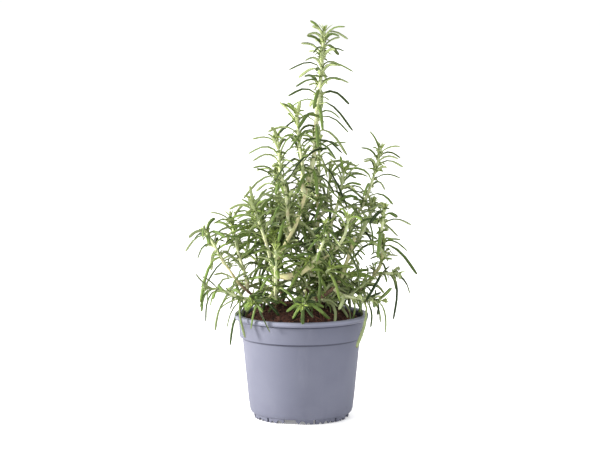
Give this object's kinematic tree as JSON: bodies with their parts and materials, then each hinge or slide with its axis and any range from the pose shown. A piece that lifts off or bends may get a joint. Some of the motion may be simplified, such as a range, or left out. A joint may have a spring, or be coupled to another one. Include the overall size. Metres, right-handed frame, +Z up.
{
  "type": "potted rosemary plant",
  "caption": "Young rosemary plant: woody stems with needle-leaved shoots and a tall leader, in domed compost in a tapered plastic nursery pot with a rolled rim and notched feet.",
  "frame": {"origin": "middle of the circle the pot's feet stand on, on the floor", "axes": "+Z up along the pot's axis and the plant's height, -Y towards the front, +X to the right as seen from the front"},
  "size_m": [0.2059, 0.1587, 0.3795],
  "materials": {
    "pot_plastic": "smooth, softly matt, blue-grey",
    "compost": "coarse, damp, reddish brown peat",
    "bark": "pale young bark, browner and cracked towards the base",
    "foliage": "leathery, glossy above, pale and felted below"
  },
  "bodies": {
    "root": {"back_left_shoot": "foliage", "back_left_stem": "bark", "back_right_stem": "bark", "back_shoot": "foliage", "back_stem": "bark", "compost": "compost", "crossing_branch": "bark", "crossing_shoot": "foliage", "far_left_shoot": "foliage", "far_right_shoot": "foliage", "far_right_stem": "bark", "front_low_left_shoot": "foliage", "front_low_shoot": "foliage", "front_shoot": "foliage", "inner_right_shoot": "foliage", "leader_shoot": "foliage", "left_back_shoot": "foliage", "left_crown_shoot": "foliage", "left_high_shoot": "foliage", "left_middle_shoot": "foliage", "left_side_shoot": "foliage", "left_stem": "bark", "low_back_left_shoot": "foliage", "low_back_right_shoot": "foliage", "low_back_shoot": "foliage", "low_left_shoot": "foliage", "low_right_shoot": "foliage", "main_stem": "bark", "middle_high_shoot": "foliage", "pot": "pot_plastic", "right_back_shoot": "foliage", "right_hanging_shoot": "foliage", "right_high_shoot": "foliage", "right_middle_shoot": "foliage", "right_side_shoot": "foliage", "right_stem": "bark", "right_stub_shoot": "foliage", "second_leader_shoot": "foliage", "second_leader_stem": "bark", "side_shoot_01": "foliage", "side_shoot_02": "foliage", "side_shoot_03": "foliage", "side_shoot_04": "foliage", "side_shoot_05": "foliage", "side_shoot_06": "foliage", "side_shoot_07": "foliage", "side_shoot_08": "foliage", "side_shoot_09": "foliage", "side_shoot_10": "foliage", "side_shoot_11": "foliage", "side_shoot_12": "foliage", "side_shoot_13": "foliage", "side_shoot_14": "foliage", "side_shoot_15": "foliage", "side_shoot_16": "foliage", "side_shoot_17": "foliage", "side_shoot_18": "foliage", "side_shoot_19": "foliage", "side_shoot_20": "foliage"}
  },
  "joints": []
}
